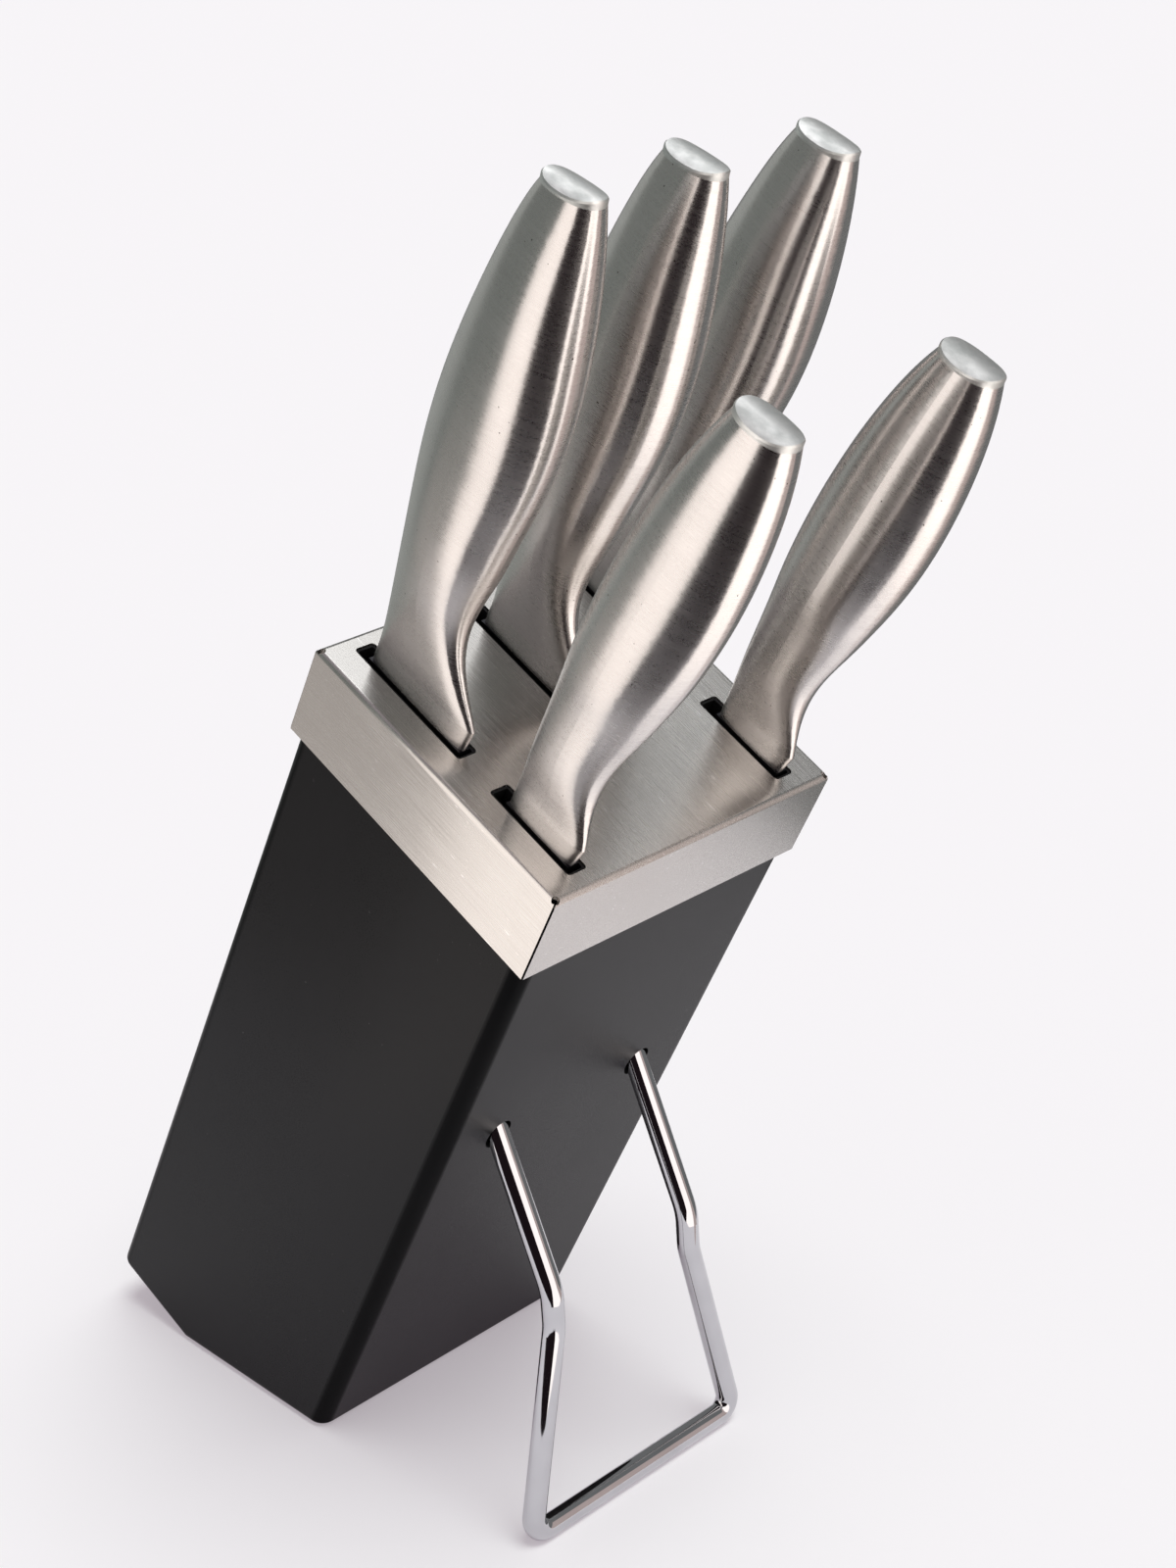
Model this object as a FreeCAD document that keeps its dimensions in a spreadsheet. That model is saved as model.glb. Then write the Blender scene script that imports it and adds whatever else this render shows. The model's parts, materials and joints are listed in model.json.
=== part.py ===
"""Knife block with five knives: a leaning box with a folded steel cap, held up by a wire stand.

The box and the knives are drawn upright: X across the width, Y from the front face of the cap
to its back, Z up the box with zero on top of the cap.  One placement then leans them forward
until the bevel under the box lies level.  In the finished model +Z is up, the front is -Y and
the origin is the middle of the anti-slip pad, on the table.
"""
import FreeCAD
import Part
import Sketcher
import math
import os
import re

V = FreeCAD.Vector

# Driving dimensions in millimetres and degrees.
SIZES = {
    # folded steel cap
    "cap_width": 86.0,
    "cap_depth": 81.5,
    "cap_height": 24.4,
    "cap_sheet": 1.0,
    "cap_bend": 1.3,
    "cap_seam": 0.35,
    "cap_notch": 0.9,
    "cap_fit": 0.1,
    # moulded box
    "lean": 26.15,
    "box_length": 228.3,
    "box_wall": 2.4,
    "box_corner": 4.0,
    "box_edge": 2.0,
    "sole_depth": 29.5,
    # anti-slip pad in the bevel
    "pad_side": 6.9,
    "pad_end": 7.2,
    "pad_corner": 6.0,
    "pad_thick": 1.2,
    "pad_proud": 0.4,
    "pad_fit": 0.15,
    # slots and the plastic insert behind them
    "slot_inset": 10.7,
    "slot_corner": 1.0,
    "slot_margin": 3.8,
    "small_margin": 4.7,
    "long_slot": 52.5,
    "rear_slot": 36.4,
    "small_slot": 26.4,
    "insert_plate": 2.0,
    "insert_drop": 0.4,
    "insert_rim": 0.6,
    "insert_fit": 0.1,
    "sheath_wall": 0.8,
    "sheath_depth": 46.0,
    "seat_depth": 10.0,
    "seat_ledge": 0.3,
    "seat_gap": 0.2,
    # wire stand
    "wire": 5.6,
    "leg_spacing": 45.6,
    "leg_entry": 92.3,
    "leg_slope": 64.6,
    "leg_upper": 39.0,
    "knee_drop": 10.0,
    "leg_inside": 22.0,
    "leg_hole": 7.2,
    "leg_fit": 0.05,
    "socket_wall": 2.6,
    "foot_spacing": 69.6,
    "foot_reach": 97.6,
    "knee_bend": 15.0,
    "foot_bend": 4.0,
    # blades
    "blade_thick": 2.0,
    "blade_fit": 0.3,
    "edge_thick": 0.3,
    "bolster_play": 0.5,
    "spine_inset": 1.6,
    "tang_width": 9.0,
    "tang_back": 6.0,
    "tang_length": 15.0,
    "tang_thick": 1.6,
    "tooth_pitch": 5.0,
    "tooth_round": 3.4,
    "tooth_depth": 1.1,
    "bread_blade": 200.0,
    "chefs_blade": 195.0,
    "carving_blade": 200.0,
    "utility_blade": 125.0,
    "paring_blade": 90.0,
    # handles
    "bread_handle": 130.6,
    "chefs_handle": 130.8,
    "carving_handle": 132.7,
    "utility_handle": 120.7,
    "paring_handle": 115.4,
    "handle_lift": 0.3,
    "foot_step": 0.05,
    "handle_wall": 1.3,
    "weld_gap": 0.05,
    "pommel_rim": 0.8,
    "pommel_dome": 1.0,
    "pommel_edge": 0.3,
    "pommel_plug": 4.0,
}

# Sizes that follow from the ones above.
TERMS = {
    "box_front": "cap_sheet + cap_fit",
    "box_back": "cap_depth - cap_sheet - cap_fit",
    "box_half": "cap_width / 2 - cap_sheet - cap_fit",
    "box_top": "0 - cap_sheet - insert_plate",
    "bevel_end": "box_back - sole_depth",
    "bevel_rise": "(bevel_end - box_front) * tan(lean)",
    "pad_width": "2 * (box_half - pad_side)",
    "pad_length": "(bevel_end - box_front) / cos(lean) - 2 * pad_end",
    "slot_pitch": "cap_width / 2 - slot_inset",
    "slot_back": "cap_depth - slot_margin",
    "slit": "blade_thick + 2 * blade_fit",
    "bolster_thick": "slit + 2 * seat_ledge",
    "mouth": "bolster_thick + 2 * bolster_play",
    "rim_and_fit": "insert_rim + insert_fit",
    "slot_width": "mouth + 2 * rim_and_fit",
    "foot_thick": "bolster_thick + 2 * foot_step",
    "heel_level": "seat_gap - seat_depth",
    "leg_tilt": "leg_slope - lean",
    "pommel_height": "pommel_rim + pommel_dome",
    "inlay": "handle_wall + weld_gap",
}

# The three slot lengths, as front end and back end.
SLOTS = {
    "long": ("slot_back - long_slot", "slot_back"),
    "rear": ("slot_back - rear_slot", "slot_back"),
    "small": ("small_margin", "small_margin + small_slot"),
}

# Handle forms, from the blade end up.  Each row is a cross-section: height as a share of the
# length, front edge and back edge from the back of the foot, added half thickness over the
# foot's, and how square the section is.  Row 1 is the heel, where the guard turns under.
LARGE_HANDLE = [
    (0.000, -31.3, 0.0, 0.00, 0.80),
    (0.045, -32.0, 0.0, 0.15, 0.80),
    (0.080, -27.9, 0.1, 0.75, 0.76),
    (0.140, -22.5, 0.8, 1.85, 0.70),
    (0.230, -20.9, 1.7, 4.35, 0.64),
    (0.380, -23.6, 3.9, 7.10, 0.60),
    (0.560, -26.0, 6.2, 8.20, 0.58),
    (0.760, -23.4, 4.8, 7.90, 0.60),
    (0.900, -19.0, 2.6, 5.50, 0.62),
    (1.000, -14.9, 0.3, 3.00, 0.64),
]
SMALL_HANDLE = [
    (0.000, -20.3, 0.0, 0.00, 0.80),
    (0.045, -21.5, 0.0, 0.15, 0.80),
    (0.080, -20.3, 0.1, 0.50, 0.76),
    (0.140, -18.8, 0.2, 2.05, 0.70),
    (0.240, -19.8, 0.3, 3.80, 0.64),
    (0.380, -24.3, 0.5, 6.35, 0.60),
    (0.560, -28.6, 0.0, 7.35, 0.58),
    (0.760, -29.6, -3.0, 6.80, 0.60),
    (0.900, -28.1, -6.9, 5.30, 0.62),
    (1.000, -25.8, -10.4, 3.60, 0.64),
]

# The knives.  lane: which slot across the block.  behind: gap between the handle's foot and
# the back of the slot.  ahead: gap between the cutting edge and the front of the slot.
# point: how far the blade's point lies below its back.  belly and nose: powers that shape
# the cutting edge.  face: slope of the handle's end.  droop: how far the handle nods
# forward, in degrees.
KNIVES = [
    dict(name="bread_knife", slot="rear", lane=-1, behind=3.7, ahead=1.4, blade="bread_blade",
         point=4.0, belly=9.0, nose=0.5, teeth=True,
         form=LARGE_HANDLE, length="bread_handle", face=0.154, droop=0.3),
    dict(name="chefs_knife", slot="long", lane=0, behind=4.8, ahead=2.0, blade="chefs_blade",
         point=9.0, belly=2.4, nose=0.85, teeth=False,
         form=LARGE_HANDLE, length="chefs_handle", face=0.150, droop=0.2),
    dict(name="carving_knife", slot="rear", lane=1, behind=2.8, ahead=3.6, blade="carving_blade",
         point=7.0, belly=4.0, nose=0.75, teeth=False,
         form=LARGE_HANDLE, length="carving_handle", face=0.105, droop=3.4),
    dict(name="utility_knife", slot="small", lane=-1, behind=4.3, ahead=2.2, blade="utility_blade",
         point=5.0, belly=3.0, nose=0.8, teeth=False,
         form=SMALL_HANDLE, length="utility_handle", face=0.030, droop=1.0),
    dict(name="paring_knife", slot="small", lane=1, behind=4.8, ahead=2.9, blade="paring_blade",
         point=4.0, belly=2.6, nose=0.85, teeth=False,
         form=SMALL_HANDLE, length="paring_handle", face=0.050, droop=-0.3),
]

doc = FreeCAD.newDocument("KnifeBlock")
sheet = doc.addObject("Spreadsheet::Sheet", "Sizes")
for row, (name, number) in enumerate(SIZES.items(), 1):
    sheet.set("A%d" % row, name)
    sheet.set("B%d" % row, str(number))
    sheet.setAlias("B%d" % row, name)
doc.recompute()


# --- sizes, sketches and features -----------------------------------------------------------

def formula(text):
    """An expression for the document: names of sizes and terms, written out in full."""
    def spell(match):
        word = match.group(0)
        if word in TERMS:
            return "(%s)" % formula(TERMS[word])
        return "Sizes." + word if word in SIZES else word
    return re.sub(r"[a-z_]+", spell, str(text))


def mm(text):
    """The value of a formula."""
    return float(sheet.evalExpression(formula(text)))


def bind(item, prop, text):
    item.setExpression(prop, formula(text))


def new_body(label):
    body = doc.addObject("PartDesign::Body", label)
    body.Label = label
    return body


def new_sketch(body, name, role, offset=("0", "0", "0"), turn="0"):
    """A sketch on an origin plane, moved in that plane's axes and turned about its X."""
    sketch = body.newObject("Sketcher::SketchObject", name)
    plane = [item for item in body.Origin.OriginFeatures if item.Role == role][0]
    sketch.AttachmentSupport = (plane, "")
    sketch.MapMode = "FlatFace"
    sketch.AttachmentOffset = FreeCAD.Placement(V(*map(mm, offset)),
                                                FreeCAD.Rotation(V(1, 0, 0), mm(turn)))
    for axis, text in zip("xyz", offset):
        bind(sketch, "AttachmentOffset.Base." + axis, text)
    if turn != "0":
        bind(sketch, "AttachmentOffset.Rotation.Angle", turn)
    return sketch


def hold(sketch, kind, item, end, text):
    """Fix one coordinate of a point by a formula."""
    index = sketch.addConstraint(Sketcher.Constraint(kind, item, end, mm(text)))
    bind(sketch, "Constraints[%d]" % index, text)


def polygon(sketch, corners):
    """A closed outline through corners given as pairs of formulas."""
    points = [V(mm(x), mm(y), 0) for x, y in corners]
    first = sketch.GeometryCount
    count = len(points)
    for i in range(count):
        sketch.addGeometry(Part.LineSegment(points[i], points[(i + 1) % count]), False)
    for i in range(count):
        after = first + (i + 1) % count
        sketch.addConstraint(Sketcher.Constraint("Coincident", first + i, 2, after, 1))
    for i, (x, y) in enumerate(corners):
        hold(sketch, "DistanceX", first + i, 1, x)
        hold(sketch, "DistanceY", first + i, 1, y)


def rectangle(sketch, left, right, low, high):
    polygon(sketch, [(left, low), (right, low), (right, high), (left, high)])


def rounded(sketch, left, right, low, high, radius):
    """A rectangle with rounded corners."""
    x0, x1, y0, y1, r = map(mm, (left, right, low, high, radius))
    first = sketch.GeometryCount
    sides = [(x0 + r, y0, x1 - r, y0), (x1, y0 + r, x1, y1 - r),
             (x1 - r, y1, x0 + r, y1), (x0, y1 - r, x0, y0 + r)]
    centres = [(x1 - r, y0 + r), (x1 - r, y1 - r), (x0 + r, y1 - r), (x0 + r, y0 + r)]
    for xa, ya, xb, yb in sides:
        sketch.addGeometry(Part.LineSegment(V(xa, ya, 0), V(xb, yb, 0)), False)
    for i, (x, y) in enumerate(centres):
        start = (i - 1) * math.pi / 2
        circle = Part.Circle(V(x, y, 0), V(0, 0, 1), r)
        sketch.addGeometry(Part.ArcOfCircle(circle, start, start + math.pi / 2), False)
    for i in range(4):
        arc = first + 4 + i
        after = first + (i + 1) % 4
        sketch.addConstraint(Sketcher.Constraint("Tangent", first + i, 2, arc, 1))
        sketch.addConstraint(Sketcher.Constraint("Tangent", arc, 2, after, 1))
    for i in (5, 6, 7):
        sketch.addConstraint(Sketcher.Constraint("Equal", first + 4, first + i))
    index = sketch.addConstraint(Sketcher.Constraint("Radius", first + 4, r))
    bind(sketch, "Constraints[%d]" % index, radius)
    sketch.addConstraint(Sketcher.Constraint("Horizontal", first))
    hold(sketch, "DistanceY", first, 1, low)
    hold(sketch, "DistanceX", first + 1, 1, right)
    hold(sketch, "DistanceY", first + 2, 1, high)
    hold(sketch, "DistanceX", first + 3, 1, left)


def circle(sketch, x, y, radius):
    index = sketch.addGeometry(Part.Circle(V(mm(x), mm(y), 0), V(0, 0, 1), mm(radius)), False)
    hold(sketch, "DistanceX", index, 3, x)
    hold(sketch, "DistanceY", index, 3, y)
    spot = sketch.addConstraint(Sketcher.Constraint("Radius", index, mm(radius)))
    bind(sketch, "Constraints[%d]" % spot, radius)


def feature(kind, body, sketch, depth, **settings):
    """A Pad or Pocket of a sketch; without a depth it goes through everything."""
    doc.recompute()
    before = body.Shape.Volume if body.Tip else 0
    item = body.newObject("PartDesign::" + kind, sketch.Name + kind)
    item.Profile = sketch
    if depth:
        item.Length = mm(depth)
        bind(item, "Length", depth)
    else:
        item.Type = "ThroughAll"
    for key, setting in settings.items():
        setattr(item, key, setting)
    doc.recompute()
    grown = body.Shape.Volume - before
    if (kind == "Pad") != (grown > 1e-3) or abs(grown) < 1e-3:
        raise RuntimeError("%s changed nothing" % item.Name)
    return item


def fillet(body, name, radius, test):
    base = body.Tip
    names = ["Edge%d" % i for i, edge in enumerate(base.Shape.Edges, 1) if test(edge)]
    item = body.newObject("PartDesign::Fillet", name)
    item.Base = (base, names)
    item.Radius = mm(radius)
    bind(item, "Radius", radius)
    doc.recompute()
    return item


def upright(edge):
    """True for an edge along Z."""
    start = edge.Vertexes[0].Point
    end = edge.Vertexes[-1].Point
    return math.hypot(start.x - end.x, start.y - end.y) < 1e-6 and abs(start.z - end.z) > 1


def slot_outline(knife, grow):
    """A knife's slot as formulas for left, right, front and back, each side grown."""
    half = "slot_width / 2 + (%s)" % grow
    front, back = SLOTS[knife["slot"]]
    middle = "slot_pitch * %d" % knife["lane"]
    return ("%s - (%s)" % (middle, half), "%s + %s" % (middle, half),
            "%s - (%s)" % (front, grow), "%s + %s" % (back, grow))


# --- the box --------------------------------------------------------------------------------

def side_view(sketch, inset, top):
    """The box from the side, with every wall moved in by the inset."""
    front = "box_front + %s" % inset
    back = "box_back - %s" % inset
    end = "%s - box_length" % inset
    kink = "bevel_end + %s * tan(lean / 2)" % inset
    heel = "%s + (%s - (%s)) * tan(lean)" % (end, kink, front)
    polygon(sketch, [(front, top), (front, heel), (kink, end), (back, end), (back, top)])


def make_block_body():
    """A moulded shell, open at the top, with two sockets for the stand's legs."""
    body = new_body("block_body")
    outline = new_sketch(body, "BoxSide", "YZ_Plane")
    side_view(outline, "0", "box_top")
    feature("Pad", body, outline, "2 * box_half", Midplane=True)
    fillet(body, "BoxCorners", "box_corner", upright)
    low = mm("bevel_rise + 1 - box_length")

    def bottom_edge(edge):
        box = edge.BoundBox
        is_kink = box.YLength < 1e-6 and abs(box.YMin - mm("bevel_end")) < 0.01
        return box.ZMax < low and not is_kink
    fillet(body, "BoxEdges", "box_edge", bottom_edge)

    hollow = new_sketch(body, "HollowSide", "YZ_Plane")
    side_view(hollow, "box_wall", "1")
    feature("Pocket", body, hollow, "2 * (box_half - box_wall)", Midplane=True)
    inner = mm("box_half - box_wall") - 0.01

    def inner_corner(edge):
        box = edge.BoundBox
        return upright(edge) and inner < abs(box.XMin) < inner + 0.02
    fillet(body, "HollowCorners", "box_corner - box_wall", inner_corner)

    def leg_sketch(name, depth, radius):
        """A circle on each leg's axis, square to it, at a depth inside the front face."""
        spot = ("0", "(%s) * sin(leg_tilt) - leg_entry" % depth,
                "0 - box_front - (%s) * cos(leg_tilt)" % depth)
        sketch = new_sketch(body, name, "XZ_Plane", spot, "leg_tilt")
        for side in ("leg_spacing / 2", "0 - leg_spacing / 2"):
            circle(sketch, side, "0", radius)
        return sketch

    wall = mm("box_front + box_wall")
    faces = [i for i, face in enumerate(body.Shape.Faces, 1)
             if face.BoundBox.YLength < 1e-6 and abs(face.BoundBox.YMin - wall) < 1e-4]
    boss = leg_sketch("Sockets", "leg_inside + box_wall", "wire / 2 + leg_fit + socket_wall")
    feature("Pad", body, boss, "box_wall", Type="UpToFace",
            UpToFace=(body.Tip, ["Face%d" % faces[0]]))
    bore = leg_sketch("LegBores", "leg_inside", "wire / 2 + leg_fit")
    feature("Pocket", body, bore, None, Reversed=True)
    mouth = leg_sketch("LegHoles", "leg_hole / 2 + box_wall", "leg_hole / 2")
    feature("Pocket", body, mouth, None, Reversed=True)

    middle = "(box_front + bevel_end) / 2"
    level = "(bevel_end - box_front) / 2 * tan(lean) - box_length"
    recess = new_sketch(body, "PadRecess", "XY_Plane", ("0", middle, level), "0 - lean")
    rounded(recess, "0 - pad_width / 2 - pad_fit", "pad_width / 2 + pad_fit",
            "0 - pad_length / 2 - pad_fit", "pad_length / 2 + pad_fit", "pad_corner + pad_fit")
    feature("Pocket", body, recess, "pad_thick - pad_proud", Reversed=True)
    return body


def make_base_pad():
    """A thin rubber sheet in the bevel's recess."""
    body = new_body("base_pad")
    sketch = new_sketch(body, "PadOutline", "XY_Plane")
    rounded(sketch, "0 - pad_width / 2", "pad_width / 2",
            "0 - pad_length / 2", "pad_length / 2", "pad_corner")
    feature("Pad", body, sketch, "pad_thick")
    return body


# --- the cap and the insert -----------------------------------------------------------------

def make_steel_cap():
    """One sheet folded down on four sides, with open seams and a notch at each corner."""
    body = new_body("steel_cap")
    outline = new_sketch(body, "CapOutline", "XY_Plane")
    rectangle(outline, "0 - cap_width / 2", "cap_width / 2", "0", "cap_depth")
    feature("Pad", body, outline, "cap_height", Reversed=True)
    fillet(body, "CapBends", "cap_bend", lambda edge: edge.BoundBox.ZMin > -1e-6)
    under = new_sketch(body, "CapInside", "XY_Plane", ("0", "0", "0 - cap_sheet"))
    rectangle(under, "cap_sheet - cap_width / 2", "cap_width / 2 - cap_sheet",
              "cap_sheet", "cap_depth - cap_sheet")
    feature("Pocket", body, under, "cap_height")
    level = mm("0 - cap_sheet")
    fillet(body, "CapInnerBends", "cap_bend - cap_sheet",
           lambda edge: abs(edge.BoundBox.ZMin - level) < 1e-6 > edge.BoundBox.ZLength)

    seams = new_sketch(body, "CapSeams", "XY_Plane")
    notches = new_sketch(body, "CapNotches", "XY_Plane")
    for side in (-1, 1):
        for corner, way in (("0", 1), ("cap_depth", -1)):
            def spot(across, along):
                return ("%d * (cap_width / 2 - (%s))" % (side, across),
                        "%s + %d * (%s)" % (corner, way, along))
            polygon(seams, [spot("0 - cap_seam", "0"), spot("cap_bend", "cap_bend + cap_seam"),
                            spot("cap_bend + cap_seam", "cap_bend"), spot("0", "0 - cap_seam")])
            circle(notches, *spot("cap_sheet", "cap_sheet"), "cap_notch")
    feature("Pocket", body, seams, None)
    feature("Pocket", body, notches, "cap_bend + cap_notch")

    cuts = new_sketch(body, "CapSlots", "XY_Plane")
    for knife in KNIVES:
        rounded(cuts, *slot_outline(knife, "0"), "slot_corner")
    feature("Pocket", body, cuts, "cap_sheet")
    return body


def make_slot_insert():
    """A moulding between cap and box: rims in the slots above, a sheath for each blade below."""
    body = new_body("slot_insert")
    plate = new_sketch(body, "InsertPlate", "XY_Plane", ("0", "0", "0 - cap_sheet"))
    rounded(plate, "0 - box_half", "box_half", "box_front", "box_back", "box_corner")
    feature("Pad", body, plate, "insert_plate", Reversed=True)
    wall = "sheath_wall - rim_and_fit"
    steps = [
        ("InsertSheaths", "Pad", "0 - cap_sheet", wall, "sheath_depth - cap_sheet",
         "slot_corner"),
        ("InsertRims", "Pad", "0 - insert_drop", "0 - insert_fit", "cap_sheet - insert_drop",
         "slot_corner - insert_fit"),
        ("InsertMouths", "Pocket", "0", "0 - rim_and_fit", "seat_depth", "slot_corner / 2"),
    ]
    for name, kind, level, grow, depth, radius in steps:
        sketch = new_sketch(body, name, "XY_Plane", ("0", "0", level))
        for knife in KNIVES:
            rounded(sketch, *slot_outline(knife, grow), radius)
        feature(kind, body, sketch, depth, Reversed=kind == "Pad")
    slits = new_sketch(body, "InsertSlits", "XY_Plane")
    for knife in KNIVES:
        left, right, front, back = slot_outline(knife, "0 - rim_and_fit")
        side = "slot_pitch * %d" % knife["lane"]
        rectangle(slits, side + " - slit / 2", side + " + slit / 2", front, back)
    feature("Pocket", body, slits, None)
    return body


# --- the wire stand -------------------------------------------------------------------------

def bent_wire(points, radii):
    """A path of straight runs with a tangent arc at each inner point."""
    edges = []
    start = points[0]
    for before, corner, after, radius in zip(points, points[1:], points[2:], radii):
        arriving = (corner - before).normalize()
        leaving = (after - corner).normalize()
        turn = arriving.getAngle(leaving)
        reach = radius * math.tan(turn / 2)
        first = corner - arriving * reach
        last = corner + leaving * reach
        inward = (leaving - arriving).normalize()
        crown = corner + inward * (radius / math.cos(turn / 2) - radius)
        edges.append(Part.LineSegment(start, first).toShape())
        edges.append(Part.Arc(first, crown, last).toShape())
        start = last
    edges.append(Part.LineSegment(start, points[-1]).toShape())
    return Part.Wire(edges)


def make_wire_stand():
    """One bent wire: legs out of the box, knees, shins that splay and a bar on the table."""
    slope = math.radians(mm("leg_slope"))
    down = V(0, -math.cos(slope), -math.sin(slope))
    entry = box_place.multVec(V(mm("leg_spacing / 2"), mm("box_front"), -mm("leg_entry")))
    knee = entry + down * mm("leg_upper")
    foot = V(mm("foot_spacing / 2"), -mm("foot_reach"), mm("wire / 2"))
    shin = (foot - knee) * (mm("knee_drop") / (knee.z - foot.z))
    splay = V(knee.x, knee.y + shin.y, knee.z + shin.z)
    leg = [entry - down * mm("leg_inside"), knee, splay, foot]
    mirrored = [V(-point.x, point.y, point.z) for point in reversed(leg)]
    bends = [mm("knee_bend"), mm("knee_bend"), mm("foot_bend")]
    bends += bends[::-1]
    path = doc.addObject("Part::Feature", "StandPath")
    path.Shape = bent_wire(leg + mirrored, bends)
    section = doc.addObject("Part::Circle", "StandSection")
    bind(section, "Radius", "wire / 2")
    section.Placement = FreeCAD.Placement(leg[0], FreeCAD.Rotation(V(0, 0, 1), down))
    sweep = doc.addObject("Part::Sweep", "wire_stand")
    sweep.Label = "wire_stand"
    sweep.Sections = [section]
    sweep.Spine = (path, ["Edge%d" % i for i in range(1, len(path.Shape.Edges) + 1)])
    sweep.Solid = True
    sweep.Frenet = False
    return sweep


# --- the knives -----------------------------------------------------------------------------

def shape_object(label, shape, placement):
    item = doc.addObject("Part::Feature", label)
    item.Label = label
    item.Shape = shape
    item.Placement = placement
    return item


def oval(half_width, front, back, square, level, slope=0.0):
    """A closed section of four curved quarters; a slope tips it, with its front edge up."""
    middle = (front + back) / 2
    half = (back - front) / 2

    def place(x, y):
        return V(x * half_width, middle + y * half, level - slope * y * half)
    quarters = []
    for a, b in (((1, 0), (0, 1)), ((0, 1), (-1, 0)), ((-1, 0), (0, -1)), ((0, -1), (1, 0))):
        curve = Part.BezierCurve()
        curve.setPoles([place(*a), place(a[0] + square * b[0], a[1] + square * b[1]),
                        place(b[0] + square * a[0], b[1] + square * a[1]), place(*b)])
        quarters.append(curve.toShape())
    return Part.Wire(quarters)


def flats(*section):
    """The same section drawn with straight sides, three to a quarter."""
    corners = []
    for edge in oval(*section).OrderedEdges:
        corners += edge.discretize(4)[:3]
    return Part.makePolygon(corners + corners[:1])


def handle_sections(knife, inset=0.0):
    """Numbers for each cross-section: half width, front, back, squareness, height, slope."""
    rows = []
    nod = math.tan(math.radians(knife["droop"]))
    length = mm(knife["length"])
    top = length - mm("pommel_height")
    lift = mm("handle_lift")
    for share, front, back, added, square in knife["form"]:
        height = min(lift + share * (length - lift), top)
        shift = -height * nod
        half = mm("foot_thick / 2") + added - inset
        slope = knife["face"] if share == 1 else 0.0
        rows.append((half, front + shift + inset, back + shift - inset, square, height, slope))
    return rows


def make_handle(knife):
    """A hollow steel handle: a sharp-heeled foot under a swelling grip, open at the end."""
    wires = [oval(*row) for row in handle_sections(knife)]
    foot = Part.makeLoft(wires[:2], True, True)
    grip = Part.makeLoft(wires[1:], True, False)
    inner = handle_sections(knife, mm("handle_wall"))
    hollow = Part.makeLoft([flats(*row) for row in inner[len(inner) // 2:]], True, True)
    return foot.fuse(grip).cut(hollow).cut(tang(mm("weld_gap"))).removeSplitter()


def tang(grow=0.0):
    """The stub behind the blade that is welded into the handle."""
    width = mm("tang_width") + 2 * grow
    thick = mm("tang_thick") + 2 * grow
    base = mm("handle_lift") - 1
    corner = V(-thick / 2, -mm("tang_back") - mm("tang_width") - grow, base)
    return Part.makeBox(thick, width, mm("tang_length") + grow - base, corner)


def make_pommel(knife):
    """The end cap: crowned across its width, with an eased edge and a spigot below."""
    half, front, back, square, level, slope = handle_sections(knife)[-1]
    long_half = (back - front) / 2 * math.hypot(1, slope)
    inlay = mm("inlay")
    rim = oval(half, -long_half, long_half, square, 0)
    height = mm("pommel_height")
    rise = mm("pommel_dome")
    radius = (half ** 2 + rise ** 2) / (2 * rise)
    crown = Part.makeCylinder(radius, 2 * long_half, V(0, -long_half, height - radius),
                              V(0, 1, 0))
    cap = Part.Face(rim).extrude(V(0, 0, height)).common(crown)
    cap = cap.makeChamfer(mm("pommel_edge"), [edge for edge in cap.Edges
                                              if edge.BoundBox.ZMin > mm("pommel_rim") / 2])
    plug = Part.Face(flats(half - inlay, inlay - long_half, long_half - inlay, square, 0))
    return cap.fuse(plug.extrude(V(0, 0, -mm("pommel_plug")))).removeSplitter()


def pommel_place(knife):
    half, front, back, square, level, slope = handle_sections(knife)[-1]
    tip = FreeCAD.Rotation(V(1, 0, 0), -math.degrees(math.atan(slope)))
    return FreeCAD.Placement(V(0, (front + back) / 2, level), tip)


def blade_row(knife, share):
    """Back, edge and height of the blade at a share of its length."""
    front, _ = SLOTS[knife["slot"]]
    heel = mm(front) + mm("rim_and_fit") + knife["ahead"] - foot_back(knife)
    back = -mm("spine_inset")
    point = back - knife["point"]
    spine = back - knife["point"] * share ** 3
    edge = point + (heel - point) * (1 - share ** knife["belly"]) ** knife["nose"]
    return spine, edge, mm("heel_level") - share * (mm(knife["blade"]) + mm("heel_level"))


def make_blade(knife):
    """Tang, bolster and a blade that thins to its edge and to its point."""
    sections = []
    for share in (0.0, 0.2, 0.4, 0.6, 0.75, 0.86, 0.93, 0.975, 0.996):
        spine, edge, level = blade_row(knife, share)
        thick = mm("blade_thick") / 2 * (1 - 0.6 * share ** 2)
        thin = mm("edge_thick") / 2
        corners = [V(thick, spine, level), V(thin, edge, level),
                   V(-thin, edge, level), V(-thick, spine, level)]
        sections.append(Part.makePolygon(corners + corners[:1]))
    blade = Part.makeLoft(sections, True, False)
    if knife["teeth"]:
        blade = blade.cut(Part.makeCompound(tooth_cuts(knife)))
    foot_front = knife["form"][0][1]
    bolster = Part.makeBox(mm("bolster_thick"), -foot_front,
                           mm("handle_lift - heel_level"),
                           V(-mm("bolster_thick / 2"), foot_front, mm("heel_level")))
    return blade.fuse([bolster, tang()]).removeSplitter()


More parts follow.
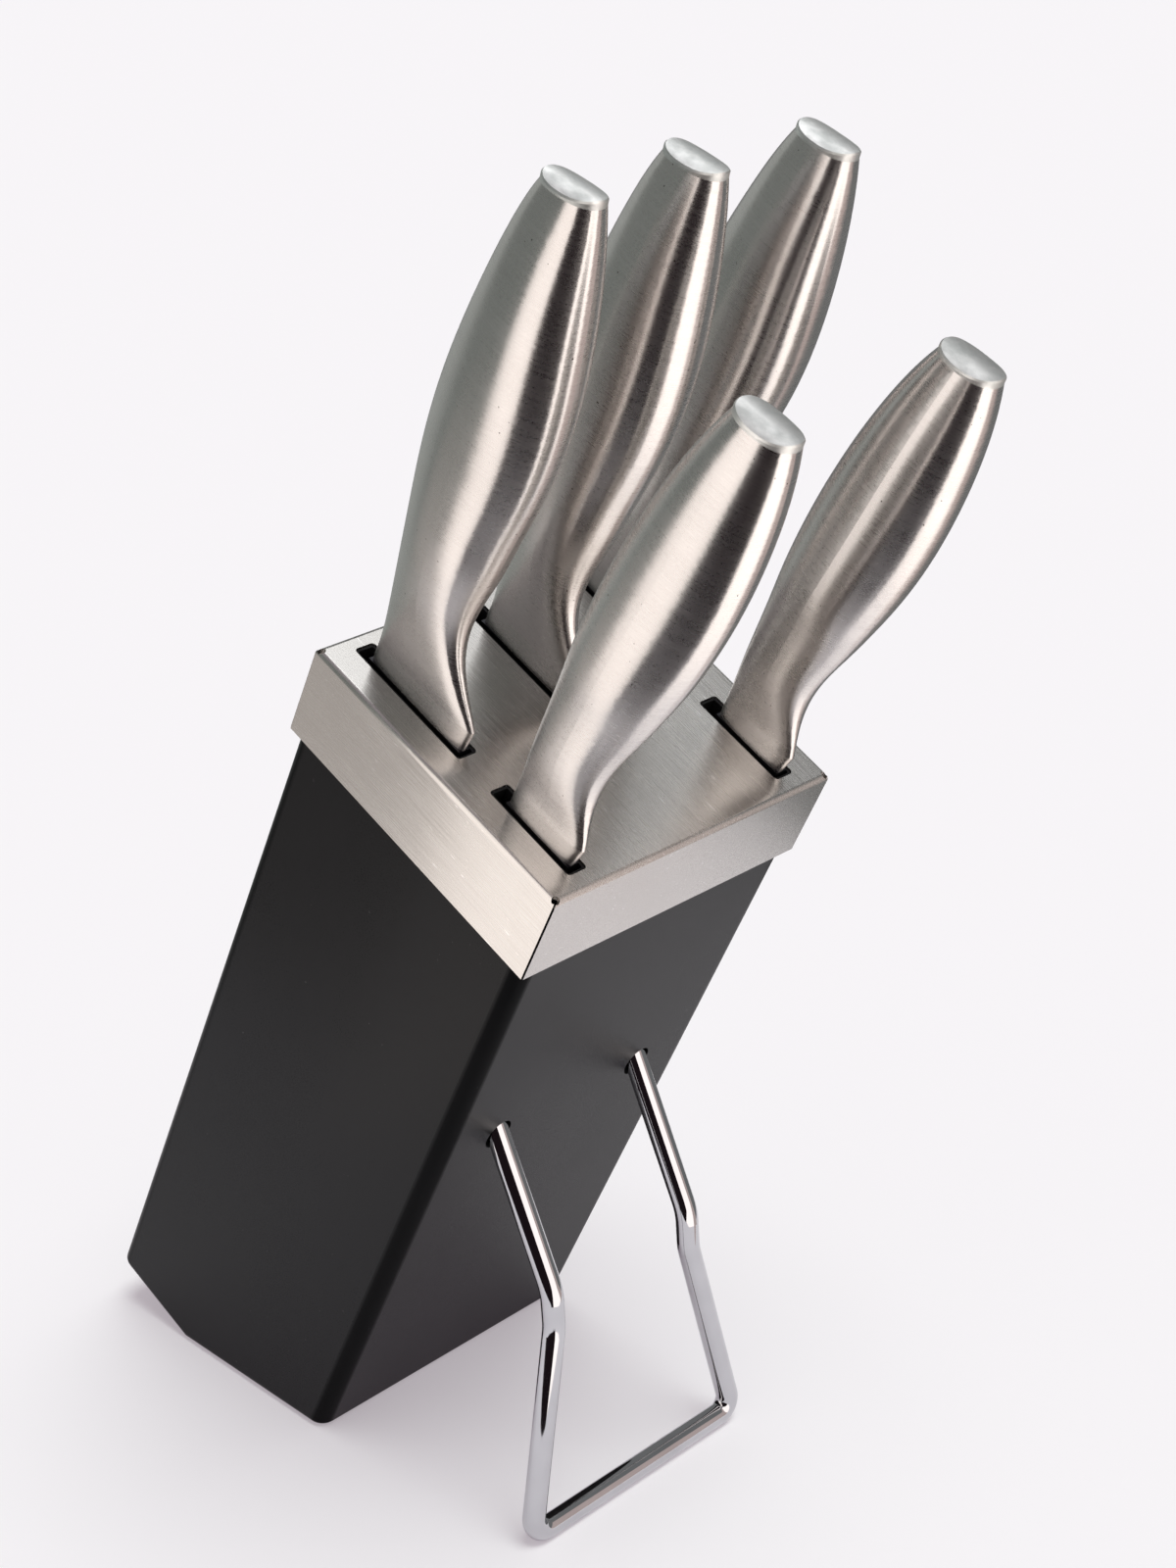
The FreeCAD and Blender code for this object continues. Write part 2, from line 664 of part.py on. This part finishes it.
def tooth_cuts(knife):
    """Round cutters in a row along the edge."""
    cutters = []
    heel_level = blade_row(knife, 0)[2]
    reach = mm(knife["blade"]) + heel_level
    last = heel_level - 0.9 * reach
    level = heel_level - mm("tooth_pitch")
    radius = mm("tooth_round")
    while level > last:
        edge = blade_row(knife, (heel_level - level) / reach)[1]
        centre = V(-mm("blade_thick"), edge + mm("tooth_depth") - radius, level)
        cutters.append(Part.makeCylinder(radius, 2 * mm("blade_thick"), centre, V(1, 0, 0)))
        level -= mm("tooth_pitch")
    return cutters


def foot_back(knife):
    return mm(SLOTS[knife["slot"]][1]) - knife["behind"]


# --- assembly -------------------------------------------------------------------------------

lean = FreeCAD.Rotation(V(1, 0, 0), mm("lean"))
bevel_middle = V(0, mm("(box_front + bevel_end) / 2"), mm("bevel_rise / 2 - box_length"))
box_place = FreeCAD.Placement(V(0, 0, mm("pad_proud")) - lean.multVec(bevel_middle), lean)

nodes = [make_block_body(), make_steel_cap(), make_slot_insert()]
for node in nodes:
    node.Placement = box_place
nodes += [make_base_pad(), make_wire_stand()]
for knife in KNIVES:
    lane = V(mm("slot_pitch") * knife["lane"], foot_back(knife), 0)
    place = box_place.multiply(FreeCAD.Placement(lane, FreeCAD.Rotation()))
    name = knife["name"]
    nodes.append(shape_object(name + "_blade", make_blade(knife), place))
    nodes.append(shape_object(name + "_handle", make_handle(knife), place))
    nodes.append(shape_object(name + "_pommel", make_pommel(knife),
                              place.multiply(pommel_place(knife))))

doc.recompute()
for item in doc.Objects:
    if "Invalid" in item.State or "Error" in item.State:
        raise RuntimeError("%s failed: %s" % (item.Name, item.State))
for node in nodes:
    if node.Shape.isNull() or not node.Shape.isValid():
        raise RuntimeError("%s has no valid shape" % node.Label)

os.makedirs("parts", exist_ok=True)
for node in nodes:
    node.Shape.exportStep("parts/%s.step" % node.Label)
    print("%-24s %3d faces %10.1f mm3" % (node.Label, len(node.Shape.Faces), node.Shape.Volume))
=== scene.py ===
"""Looks of the knife block: finishes, floor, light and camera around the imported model.

Lengths are metres where nothing else is said, colours are linear red, green and blue, and
azimuths are degrees round the object, from its back towards its right.  The finishes are laid
out along the box, in features per millimetre, and stay on a knife when it slides.
"""

import json
import math

import bpy
from mathutils import Euler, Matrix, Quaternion, Vector


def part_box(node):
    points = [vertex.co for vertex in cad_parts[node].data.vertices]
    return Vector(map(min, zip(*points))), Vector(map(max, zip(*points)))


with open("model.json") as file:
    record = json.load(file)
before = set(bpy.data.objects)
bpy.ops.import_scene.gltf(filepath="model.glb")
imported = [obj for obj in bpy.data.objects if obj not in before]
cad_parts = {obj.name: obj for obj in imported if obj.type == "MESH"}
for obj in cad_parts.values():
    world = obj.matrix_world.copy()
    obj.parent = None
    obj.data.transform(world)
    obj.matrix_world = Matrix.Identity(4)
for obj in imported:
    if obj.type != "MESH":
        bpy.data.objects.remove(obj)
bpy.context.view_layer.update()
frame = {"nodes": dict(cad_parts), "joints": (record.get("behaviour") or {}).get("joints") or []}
nodes = frame["nodes"]

# Directions of the box, which leans the way that its knives slide.
slide = next(joint for joint in frame["joints"] if joint["child"].endswith("_knife"))
UP_BOX = Vector(slide["axis"])
ACROSS = Vector((1, 0, 0))
DEPTH = UP_BOX.cross(ACROSS)
LEAN = math.atan2(-UP_BOX.y, UP_BOX.z)

# The middle of the cap's top front edge, from which places on the box are measured.
CAP_DEPTH = 0.0815
lowest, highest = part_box("steel_cap")
CAP_EDGE = Vector((0, lowest[1], highest[2] - CAP_DEPTH * DEPTH.z))
BOLSTER_DEPTH = 9.8      # millimetres from the cap's top down to the end of a knife's bolster

MM = 1000.0              # millimetres in a metre
MICRON = 0.000001
MOST = (0.35, 0.65)      # where most of a noise's values lie
NEARLY_ALL = (0.3, 0.7)


# --- nodes of a material --------------------------------------------------------------------

class Finish:
    """A material or world being built: add() makes a node, wires its inputs and gives it back."""

    def __init__(self, name, kind="Material"):
        makers = {"Material": bpy.data.materials, "World": bpy.data.worlds}
        self.kind = kind
        self.result = makers[kind].new(name)
        self.result.use_nodes = True
        self.tree = self.result.node_tree
        self.tree.nodes.clear()

    def add(self, kind, settings=None, **inputs):
        node = self.tree.nodes.new("ShaderNode" + kind)
        for key, value in (settings or {}).items():
            setattr(node, key, value)
        for key, value in inputs.items():
            self.set(node, key.replace("_", " "), value)
        return node

    def set(self, node, key, value):
        socket = node.inputs[key]
        if isinstance(value, bpy.types.NodeSocket):
            self.tree.links.new(value, socket)
        elif isinstance(value, bpy.types.Node):
            self.tree.links.new(value.outputs[0], socket)
        else:
            socket.default_value = value

    def math(self, operation, *values, kind="Math"):
        node = self.add(kind, {"operation": operation})
        for index, value in enumerate(values):
            self.set(node, index, value)
        return node

    def weighted(self, *terms):
        """The sum of values, each times its weight."""
        parts = [self.math("MULTIPLY", value, weight) for value, weight in terms]
        total = parts[0]
        for part in parts[1:]:
            total = self.math("ADD", total, part)
        return total

    def spread(self, value, span, onto=(0, 1)):
        """Carries one span of a value onto another, and stays at the nearest end outside it."""
        return self.add("MapRange", Value=value, From_Min=span[0], From_Max=span[1],
                        To_Min=onto[0], To_Max=onto[1])

    def box_frame(self, scale=(1, 1, 1)):
        """Millimetres across, into and up the box at rest, times the scale along each."""
        place = self.add("TexCoord").outputs["Object"]
        turned = self.add("Mapping", Vector=place, Rotation=(-LEAN, 0, 0))
        return self.add("Mapping", Vector=turned, Scale=tuple(MM * part for part in scale))

    def noise(self, where, detail, scale=1.0, roughness=0.5):
        return self.add("TexNoise", Vector=where, Scale=scale, Detail=detail,
                        Roughness=roughness).outputs["Fac"]

    def tint(self, share, first, second, blend="MIX"):
        """A colour between two, which are given as red, green and blue or come from nodes."""
        node = self.add("Mix", {"data_type": "RGBA", "blend_type": blend})
        self.set(node, 0, share)
        # a Mix node takes its colours in at sockets 6 and 7, and gives one out at 2
        for key, colour in ((6, first), (7, second)):
            self.set(node, key, (*colour, 1) if isinstance(colour, tuple) else colour)
        return node.outputs[2]

    def bump(self, height, distance, strength, normal=None):
        node = self.add("Bump", Height=height, Distance=distance, Strength=strength)
        if normal is not None:
            self.set(node, "Normal", normal)
        return node

    def world_vector(self, vector):
        """A direction of the part at rest, turned with the part when it moves."""
        turn = {"vector_type": "VECTOR", "convert_from": "OBJECT", "convert_to": "WORLD"}
        return self.add("VectorTransform", turn, Vector=tuple(vector))

    def facing(self, direction):
        """How squarely the surface faces a direction or its opposite, from 0 to 1."""
        normal = self.add("NewGeometry").outputs["Normal"]
        along = self.math("DOT_PRODUCT", normal, self.world_vector(direction), kind="VectorMath")
        return self.math("ABSOLUTE", along.outputs["Value"])

    def seen(self, mirrored=1.0):
        """One on a ray from the camera or through glass, and the given share on a mirrored one."""
        path = self.add("LightPath")
        glossy = self.math("MULTIPLY", path.outputs["Is Glossy Ray"], mirrored)
        seen = self.math("MAXIMUM", path.outputs["Is Camera Ray"], glossy)
        return self.math("MAXIMUM", seen, path.outputs["Is Transmission Ray"])

    def surface(self, shader):
        output = self.add("Output" + self.kind)
        self.tree.links.new(shader.outputs[0], output.inputs["Surface"])
        return self.result

    def metal(self, colour, roughness, relief, **more):
        return self.surface(self.add("BsdfPrincipled", Base_Color=colour, Metallic=1.0,
                                     Roughness=roughness, Normal=relief, **more))


def paint(node, material):
    for index in range(len(node.data.materials)):
        node.data.materials[index] = material
    if not node.data.materials:
        node.data.materials.append(material)


# --- finishes -------------------------------------------------------------------------------

def pits(finish):
    """One where a tiny pit is, nought elsewhere."""
    return finish.spread(finish.noise(finish.box_frame(), scale=1.5, detail=0), (0.86, 0.89))


def satin_handle():
    """Stainless brushed round the handle, so what it mirrors is drawn out along it."""
    finish = Finish("handle_steel")
    strokes = finish.noise(finish.box_frame((0.14, 0.14, 3.6)), detail=3, roughness=0.6)
    threads = finish.noise(finish.box_frame((1.2, 1.2, 4.0)), detail=1)
    blotches = finish.noise(finish.box_frame((0.05, 0.05, 0.09)), detail=3)
    worn = finish.weighted((strokes, 0.45), (threads, 0.25), (blotches, 0.3))
    colour = finish.tint(finish.spread(worn, MOST), (0.63, 0.605, 0.59), (0.77, 0.745, 0.725))
    colour = finish.tint(pits(finish), colour, (0.10, 0.09, 0.08))
    relief = finish.bump(strokes, 7 * MICRON, 0.4)
    return finish.metal(colour, finish.spread(worn, MOST, (0.25, 0.32)),
                        finish.bump(threads, 6 * MICRON, 0.4, relief),
                        Anisotropic=0.88, Tangent=finish.world_vector(UP_BOX))


def satin_cap():
    """Folded stainless sheet with its grain along the depth of the box."""
    finish = Finish("cap_steel")
    grain = finish.noise(finish.box_frame((3.6, 0.07, 3.6)), detail=4, roughness=0.6)
    blotches = finish.noise(finish.box_frame((0.06, 0.05, 0.06)), detail=3)
    scratches = finish.noise(finish.box_frame((1.6, 0.25, 1.6)), detail=0)
    worn = finish.weighted((grain, 0.7), (blotches, 0.3))
    colour = finish.tint(finish.spread(worn, MOST), (0.60, 0.58, 0.555), (0.71, 0.69, 0.665))
    colour = finish.tint(finish.spread(scratches, (0.80, 0.84), (0, 0.7)), colour,
                         (0.9, 0.89, 0.88))
    # the highlights stretch across each face's grain, turned a little to one side
    tangent = finish.math("CROSS_PRODUCT", finish.add("NewGeometry").outputs["True Normal"],
                          finish.world_vector(DEPTH + 0.15 * ACROSS), kind="VectorMath")
    return finish.metal(colour, finish.spread(worn, NEARLY_ALL, (0.21, 0.31)),
                        finish.bump(grain, 10 * MICRON, 0.35),
                        Anisotropic=0.75, Tangent=tangent.outputs["Vector"])


def ground_pommel():
    """The end cap of a handle, finely ground and slightly mottled."""
    finish = Finish("pommel_steel")
    grain = finish.noise(finish.box_frame((2.4, 0.16, 2.4)), detail=3, roughness=0.6)
    clouds = finish.noise(finish.box_frame((0.22, 0.16, 0.2)), detail=4, roughness=0.6)
    colour = finish.tint(finish.spread(clouds, (0.36, 0.62)),
                         (0.63, 0.65, 0.635), (0.87, 0.875, 0.86))
    return finish.metal(colour, finish.spread(clouds, NEARLY_ALL, (0.46, 0.34)),
                        finish.bump(grain, 30 * MICRON, 0.6),
                        Anisotropic=0.5, Tangent=finish.world_vector(ACROSS))


def blade_steel():
    """Blade steel ground across the blade, with painted shade making the bolster under the handle
    near black.
    """
    finish = Finish("blade_steel")
    grain = finish.noise(finish.box_frame((1.5, 0.08, 3.5)), detail=3, roughness=0.6)
    clouds = finish.noise(finish.box_frame((0.05, 0.05, 0.05)), detail=3)
    colour = finish.tint(finish.spread(grain, MOST), (0.56, 0.565, 0.57), (0.68, 0.685, 0.69))
    height = finish.add("SeparateXYZ", Vector=finish.box_frame()).outputs["Z"]
    bolster = MM * CAP_EDGE.dot(UP_BOX) - BOLSTER_DEPTH
    # painted shade: from the end of the bolster up, the blade is painted near black
    colour = finish.tint(finish.spread(height, (bolster - 0.3, bolster)), colour,
                         (0.045, 0.045, 0.05))
    return finish.metal(colour, finish.spread(clouds, (0.2, 0.8), (0.29, 0.32)),
                        finish.bump(grain, 12 * MICRON, 0.4),
                        Anisotropic=0.7, Tangent=finish.world_vector(UP_BOX))


def chrome():
    """Bright plating with a faint waviness from the drawn wire under it."""
    finish = Finish("chrome_plate")
    waves = finish.noise(finish.box_frame((0.12, 0.12, 0.12)), detail=1)
    colour = finish.tint(finish.spread(waves, NEARLY_ALL), (0.56, 0.56, 0.58), (0.60, 0.60, 0.62))
    return finish.metal(colour, finish.spread(waves, NEARLY_ALL, (0.03, 0.07)),
                        finish.bump(waves, 30 * MICRON, 0.3))


def soft_touch():
    """Charcoal soft-touch coat: fine tooth, faint smudges, worn paler in a few specks, and
    painted shade, with less sheen, where it turns round the long edges."""
    finish = Finish("soft_touch")
    tooth = finish.noise(finish.box_frame(), scale=4.5, detail=2, roughness=0.6)
    smudges = finish.noise(finish.box_frame((0.02, 0.02, 0.012)), detail=4, roughness=0.6)
    specks = finish.noise(finish.box_frame((0.8, 0.8, 0.8)), detail=1)
    painted_edge_shade = finish.math("MULTIPLY", finish.facing(ACROSS), finish.facing(DEPTH))
    on_edge = (0, 0.22)
    colour = finish.tint(finish.spread(smudges, NEARLY_ALL),
                         (0.0095, 0.0093, 0.0102), (0.0130, 0.0127, 0.0138))
    colour = finish.tint(finish.spread(specks, (0.80, 0.86), (0, 0.35)), colour,
                         (0.22, 0.21, 0.21))
    # painted shade: the colour drops to less than half on the rounded long edges, and the sheen is
    # lowered there too
    colour = finish.tint(finish.spread(painted_edge_shade, on_edge), colour, (0.45, 0.45, 0.45),
                         "MULTIPLY")
    rough = finish.math("ADD", finish.spread(smudges, NEARLY_ALL, (0.27, 0.33)),
                        finish.spread(tooth, NEARLY_ALL, (-0.03, 0.03)))
    shader = finish.add("BsdfPrincipled", Base_Color=colour, Roughness=rough,
                        Specular_IOR_Level=finish.spread(painted_edge_shade, on_edge, (0.10, 0.03)),
                        Normal=finish.bump(tooth, 30 * MICRON, 0.30))
    return finish.surface(shader)


def dull_plastic(name, colour, roughness, tooth_size=0.4):
    """Moulded plastic or rubber with a fine tooth, whose size is in millimetres."""
    finish = Finish(name)
    tooth = finish.noise(finish.box_frame(), scale=1 / tooth_size, detail=3)
    clouds = finish.noise(finish.box_frame((0.08, 0.08, 0.08)), detail=3)
    paler = tuple(1.6 * part for part in colour)
    rough = finish.spread(tooth, NEARLY_ALL, (roughness, roughness + 0.1))
    shader = finish.add("BsdfPrincipled", Roughness=rough, Specular_IOR_Level=0.3,
                        Base_Color=finish.tint(finish.spread(clouds, NEARLY_ALL), colour, paler),
                        Normal=finish.bump(tooth, 100 * MICRON, 0.4))
    return finish.surface(shader)


materials = {
    "block_body": soft_touch(),
    "slot_insert": dull_plastic("black_plastic", (0.004, 0.004, 0.0045), 0.6),
    "base_pad": dull_plastic("rubber", (0.018, 0.018, 0.018), 0.7, 0.7),
    "steel_cap": satin_cap(),
    "wire_stand": chrome(),
    "blade": blade_steel(),
    "handle": satin_handle(),
    "pommel": ground_pommel(),
}
for name, node in nodes.items():
    # a knife's pieces are named after the knife, and then blade, handle or pommel
    paint(node, materials[name if name in materials else name.split("_")[-1]])


# --- floor, light and camera ----------------------------------------------------------------

def add_mesh(name, points, faces, material):
    mesh = bpy.data.meshes.new(name)
    mesh.from_pydata(points, [], faces)
    mesh.materials.append(material)
    item = bpy.data.objects.new(name, mesh)
    bpy.context.scene.collection.objects.link(item)
    return item


def level_corners(left, right, front, back, height):
    return [(left, front, height), (right, front, height),
            (right, back, height), (left, back, height)]


def make_floor(paper, glow, mirrored_glow):
    """White paper, with a share of glow where it is seen or mirrored."""
    half = 6.0
    glow_share = 0.35
    finish = Finish("floor_paper")
    glossy = finish.add("LightPath").outputs["Is Glossy Ray"]
    mix = finish.add("MixShader")
    finish.set(mix, 0, finish.math("MULTIPLY", finish.seen(mirrored=0.6), glow_share))
    finish.set(mix, 1, finish.add("BsdfDiffuse", Color=(*paper, 1)))
    finish.set(mix, 2, finish.add("Emission", Color=finish.tint(glossy, glow, mirrored_glow)))
    add_mesh("floor", level_corners(-half, half, -half, half, 0), [(0, 1, 2, 3)],
             finish.surface(mix))


def reflector(name, points, faces, colour, level):
    """A studio board or screen that only reflections show."""
    finish = Finish(name)
    glow = finish.add("Emission", Color=(*colour, 1), Strength=level)
    item = add_mesh(name, points, faces, finish.surface(glow))
    item.visible_camera = False
    item.visible_diffuse = False
    item.visible_transmission = False
    item.visible_shadow = False


def board(name, corners, colour, level=1.0):
    reflector(name, corners, [(0, 1, 2, 3)], colour, level)


def screen(name, start, end, near, colour, level=1.0):
    """A sector of the floor between two azimuths and from a near radius outwards, turned up
    into a wall at its far edge."""
    far = 0.9
    height = 1.6
    lift = Vector((0, 0, 0.001))      # holds the sector clear of the floor
    steps = 8
    points = []
    for step in range(steps + 1):
        angle = math.radians(start + (end - start) * step / steps)
        out = Vector((math.sin(angle), math.cos(angle), 0))
        points += [out * near + lift, out * far + lift, out * far + Vector((0, 0, height))]
    faces = []
    for step in range(steps):
        first = 3 * step
        faces.append((first, first + 1, first + 4, first + 3))
        faces.append((first + 1, first + 2, first + 5, first + 4))
    reflector(name, points, faces, colour, level)


def upright(name, back, front, low, high, colour, level=1.0):
    """A board that stands along the box.  back and front are its edges' places across and
    into the box, and low and high its ends up the box, from the cap's top front edge."""
    corners = [CAP_EDGE + ACROSS * edge[0] + DEPTH * edge[1] + UP_BOX * end
               for edge, end in ((back, low), (back, high), (front, high), (front, low))]
    board(name, corners, colour, level)


def soft_sun(name, azimuth, elevation, strength, softness, colour):
    """A far lamp that metal doesn't mirror.  elevation and softness are in degrees."""
    lamp = bpy.data.lights.new(name, "SUN")
    lamp.energy = strength
    lamp.angle = math.radians(softness)
    lamp.color = colour
    item = bpy.data.objects.new(name, lamp)
    item.rotation_euler = (math.radians(90 - elevation), 0, math.radians(180 - azimuth))
    item.visible_glossy = False
    bpy.context.scene.collection.objects.link(item)


def make_world(backdrop, colour, strength):
    """Lights the object in one colour, and shows the backdrop's behind it and in metal."""
    finish = Finish("studio", "World")
    mix = finish.add("MixShader")
    finish.set(mix, 0, finish.seen())
    finish.set(mix, 1, finish.add("Background", Color=(*colour, 1), Strength=strength))
    finish.set(mix, 2, finish.add("Background", Color=(*backdrop, 1), Strength=1.0))
    bpy.context.scene.world = finish.surface(mix)


def make_camera(place, right, down, roll, lens):
    """A camera turned right of +Y, tipped down and rolled, in degrees.  lens is in mm."""
    data = bpy.data.cameras.new("camera")
    data.lens = lens
    data.sensor_width = 36.0
    data.clip_start = 0.01
    data.clip_end = 50.0
    camera = bpy.data.objects.new("camera", data)
    camera.location = place
    turn = Euler((math.radians(90 - down), 0, math.radians(-right)))
    camera.rotation_mode = "QUATERNION"
    camera.rotation_quaternion = (turn.to_quaternion()
                                  @ Quaternion((0, 0, 1), math.radians(-roll)))
    bpy.context.scene.collection.objects.link(camera)
    bpy.context.scene.camera = camera


WARM = (1.0, 0.925, 0.88)            # a board in the studio's light
UNLIT = (0.014, 0.009, 0.011)        # a board left dark

make_floor((0.90, 0.925, 0.915), (1.0, 0.91, 0.98), (1.0, 0.80, 0.96))
make_world((0.93, 0.91, 0.94), (1.0, 0.88, 0.97), 0.32)

upright("board_left", (-0.140, 0.098), (-0.238, 0.020), -0.30, 0.55, WARM, 1.45)
upright("board_dark", (-0.165, -0.012), (-0.085, -0.100), -0.135, 0.20, UNLIT)
upright("board_low", (-0.115, 0.200), (-0.140, 0.099), -0.22, -0.04, WARM, 0.55)
screen("screen_back_left", -92, -20, 0.28, (0.20, 0.215, 0.205))
screen("screen_back", -20, 25, 0.28, (0.38, 0.40, 0.385))
screen("screen_back_right", 25, 140, 0.225, (0.20, 0.205, 0.205))
screen("screen_front_right", 140, 160, 0.20, (0.62, 0.51, 0.48))
screen("screen_front", 160, 206, 0.22, WARM, 1.8)
screen("screen_dark", 206, 268, 0.21, UNLIT)
board("ceiling", level_corners(-1.3, 1.3, -1.3, 1.3, 1.7), (0.32, 0.29, 0.31))
board("roof", level_corners(0.20, 0.57, -0.15, 0.35, 1.0), (0.98, 0.99, 1.0), 2.2)
soft_sun("key", 170, 75, 2.3, 36, (0.96, 1.0, 0.97))

make_camera((-0.40445, -0.49501, 0.45543), right=44.6005, down=25.1845, roll=0.8147,
            lens=65.999)
bpy.context.scene.view_settings.view_transform = "Standard"
